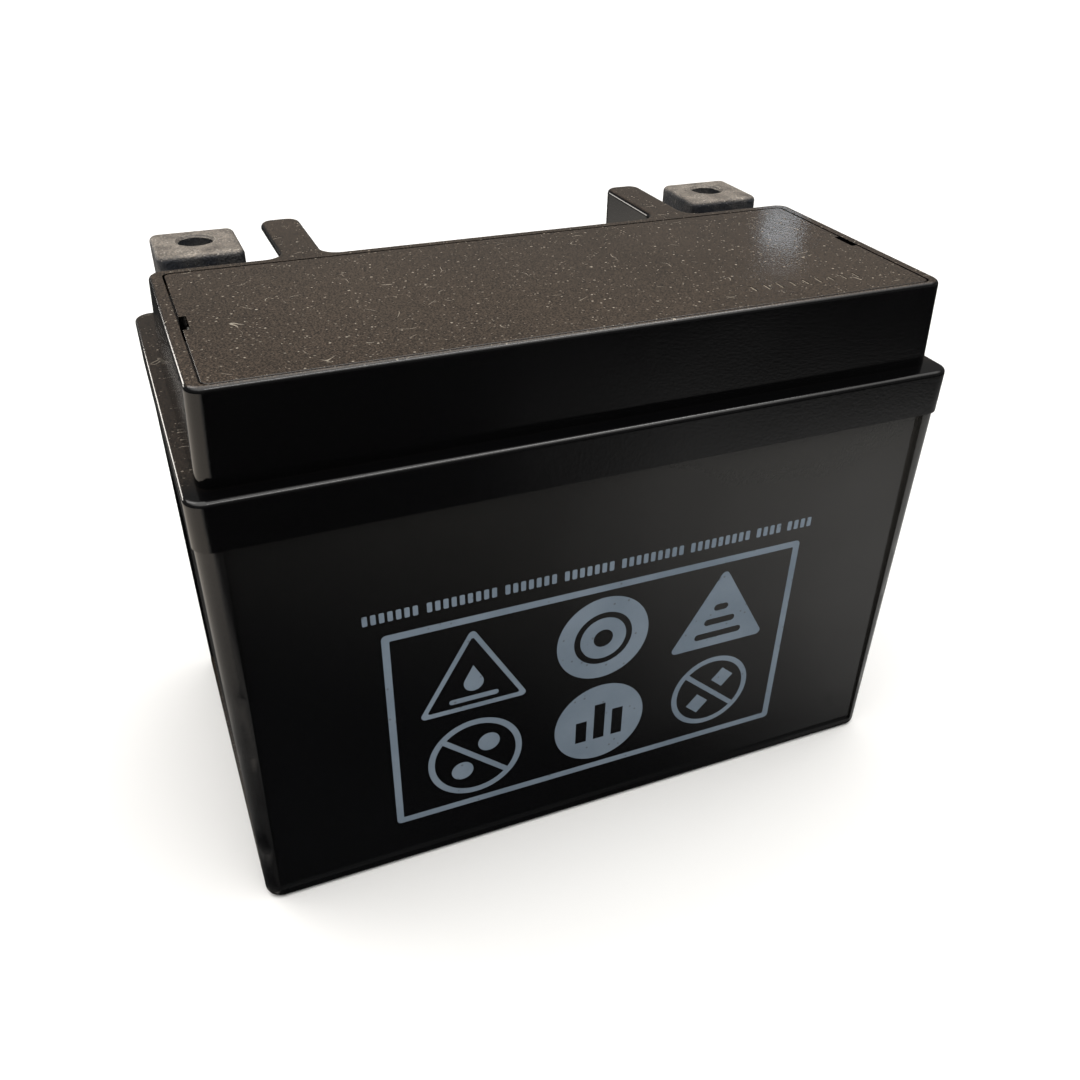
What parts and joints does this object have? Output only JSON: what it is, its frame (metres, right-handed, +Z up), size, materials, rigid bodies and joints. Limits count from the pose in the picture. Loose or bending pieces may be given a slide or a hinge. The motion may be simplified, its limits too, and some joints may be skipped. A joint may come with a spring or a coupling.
{
  "type": "motorcycle battery",
  "caption": "Sealed 12 V lead-acid motorcycle battery: black moulded case with a stepped cover, flush vent plate and two lead block terminals at the back.",
  "frame": {"origin": "middle of the footprint on the standing face", "axes": "+Z up, +X along the long side, -Y out of the printed front face, terminals towards +Y"},
  "size_m": [0.15, 0.087, 0.114],
  "materials": {
    "case_plastic": "moulded black polypropylene, glossy with light scuffs",
    "cover_plastic": "moulded black polypropylene, glossy sides, dusty top",
    "vent_cover_plastic": "moulded black polypropylene under a film of dust",
    "terminal_lead": null,
    "nut_steel": "zinc-plated steel",
    "rubber": "moulded rubber",
    "resin": "cast epoxy resin",
    "felt": "pressed felt",
    "positive_plate": "pasted lead dioxide, brown",
    "negative_plate": "pasted spongy lead, grey",
    "glass_mat": "absorbed glass mat"
  },
  "bodies": {
    "root": {"case": "case_plastic", "cover": "cover_plastic", "vent_cover": "vent_cover_plastic", "vent_filter_left": "felt", "vent_filter_right": "felt", "positive_terminal": "terminal_lead", "negative_terminal": "terminal_lead", "positive_terminal_seal": "rubber", "negative_terminal_seal": "rubber", "positive_terminal_potting": "resin", "negative_terminal_potting": "resin", "intercell_welds": "terminal_lead", "positive_plates_1": "positive_plate", "negative_plates_1": "negative_plate", "separators_1": "glass_mat", "positive_plates_2": "positive_plate", "negative_plates_2": "negative_plate", "separators_2": "glass_mat", "positive_plates_3": "positive_plate", "negative_plates_3": "negative_plate", "separators_3": "glass_mat", "positive_plates_4": "positive_plate", "negative_plates_4": "negative_plate", "separators_4": "glass_mat", "positive_plates_5": "positive_plate", "negative_plates_5": "negative_plate", "separators_5": "glass_mat", "positive_plates_6": "positive_plate", "negative_plates_6": "negative_plate", "separators_6": "glass_mat"},
    "valve_1": {"valve_cap_1": "rubber"},
    "valve_2": {"valve_cap_2": "rubber"},
    "valve_3": {"valve_cap_3": "rubber"},
    "valve_4": {"valve_cap_4": "rubber"},
    "valve_5": {"valve_cap_5": "rubber"},
    "valve_6": {"valve_cap_6": "rubber"},
    "positive_nut": {"positive_terminal_nut": "nut_steel"},
    "negative_nut": {"negative_terminal_nut": "nut_steel"}
  },
  "joints": [
    {"name": "valve_1_lift", "type": "slide", "parent": "root", "child": "valve_1", "axis": [0, 0, 1], "range_m": [0, 0.0005], "stiffness_N_per_m": 1500, "springref_m": -0.0005},
    {"name": "valve_2_lift", "type": "slide", "parent": "root", "child": "valve_2", "axis": [0, 0, 1], "range_m": [0, 0.0005], "stiffness_N_per_m": 1500, "springref_m": -0.0005},
    {"name": "valve_3_lift", "type": "slide", "parent": "root", "child": "valve_3", "axis": [0, 0, 1], "range_m": [0, 0.0005], "stiffness_N_per_m": 1500, "springref_m": -0.0005},
    {"name": "valve_4_lift", "type": "slide", "parent": "root", "child": "valve_4", "axis": [0, 0, 1], "range_m": [0, 0.0005], "stiffness_N_per_m": 1500, "springref_m": -0.0005},
    {"name": "valve_5_lift", "type": "slide", "parent": "root", "child": "valve_5", "axis": [0, 0, 1], "range_m": [0, 0.0005], "stiffness_N_per_m": 1500, "springref_m": -0.0005},
    {"name": "valve_6_lift", "type": "slide", "parent": "root", "child": "valve_6", "axis": [0, 0, 1], "range_m": [0, 0.0005], "stiffness_N_per_m": 1500, "springref_m": -0.0005},
    {"name": "positive_nut_slide", "type": "slide", "parent": "root", "child": "positive_nut", "axis": [0, 1, 0], "range_m": [0, 0.006]},
    {"name": "negative_nut_slide", "type": "slide", "parent": "root", "child": "negative_nut", "axis": [0, 1, 0], "range_m": [0, 0.006]}
  ]
}
